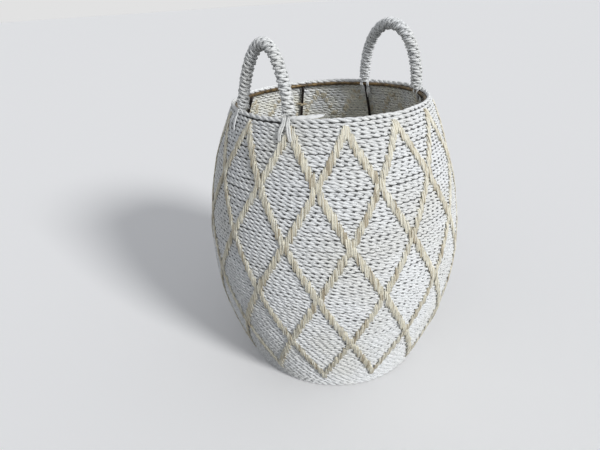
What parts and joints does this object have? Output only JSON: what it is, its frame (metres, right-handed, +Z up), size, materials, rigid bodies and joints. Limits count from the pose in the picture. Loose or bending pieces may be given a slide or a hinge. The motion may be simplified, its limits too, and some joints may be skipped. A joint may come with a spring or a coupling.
{
  "type": "carrying basket",
  "caption": "Tall belly-shaped basket of twisted cord on a wire frame, with a diamond lattice of palm-leaf stitches and two upright cord-wound arch handles.",
  "frame": {"origin": "on the basket's axis, on the plane that it stands on", "axes": "+Z up along the basket's axis; +X points 6 degrees to the left of the middle of the right handle as seen from the axis"},
  "size_m": [0.3886, 0.3928, 0.5157],
  "materials": {
    "cord": "matt white twisted two-strand cord",
    "palm_leaf": "dry straw-coloured palm-leaf strips with fine fibres",
    "iron_wire": "dark brown lacquered wire, slightly rough",
    "bronze_wire": "brown lacquered wire, worn to gold on top"
  },
  "bodies": {
    "root": {"woven_wall": "cord", "woven_base": "cord", "rim_rope": "cord", "top_ring": "bronze_wire", "base_ring": "iron_wire", "rib_1": "iron_wire", "rib_2": "iron_wire", "rib_3": "iron_wire", "rib_4": "iron_wire", "rib_5": "iron_wire", "rib_6": "iron_wire", "rib_7": "iron_wire", "rib_8": "iron_wire", "base_bar_lower": "iron_wire", "base_bar_upper": "iron_wire", "right_handle_core": "iron_wire", "left_handle_core": "iron_wire", "right_handle_winding": "cord", "left_handle_winding": "cord", "right_handle_first_leg_tie_1": "cord", "right_handle_first_leg_tie_2": "cord", "right_handle_second_leg_tie_1": "cord", "right_handle_second_leg_tie_2": "cord", "left_handle_first_leg_tie_1": "cord", "left_handle_first_leg_tie_2": "cord", "left_handle_second_leg_tie_1": "cord", "left_handle_second_leg_tie_2": "cord", "palm_band_right_1": "palm_leaf", "palm_band_left_1": "palm_leaf", "palm_band_right_2": "palm_leaf", "palm_band_left_2": "palm_leaf", "palm_band_right_3": "palm_leaf", "palm_band_left_3": "palm_leaf", "palm_band_right_4": "palm_leaf", "palm_band_left_4": "palm_leaf", "palm_band_right_5": "palm_leaf", "palm_band_left_5": "palm_leaf", "palm_band_right_6": "palm_leaf", "palm_band_left_6": "palm_leaf", "palm_band_right_7": "palm_leaf", "palm_band_left_7": "palm_leaf", "palm_band_right_8": "palm_leaf", "palm_band_left_8": "palm_leaf", "palm_band_right_9": "palm_leaf", "palm_band_left_9": "palm_leaf", "palm_band_right_10": "palm_leaf", "palm_band_left_10": "palm_leaf", "palm_band_right_11": "palm_leaf", "palm_band_left_11": "palm_leaf", "palm_band_right_12": "palm_leaf", "palm_band_left_12": "palm_leaf", "palm_band_right_13": "palm_leaf", "palm_band_left_13": "palm_leaf", "palm_band_right_14": "palm_leaf", "palm_band_left_14": "palm_leaf"}
  },
  "joints": []
}
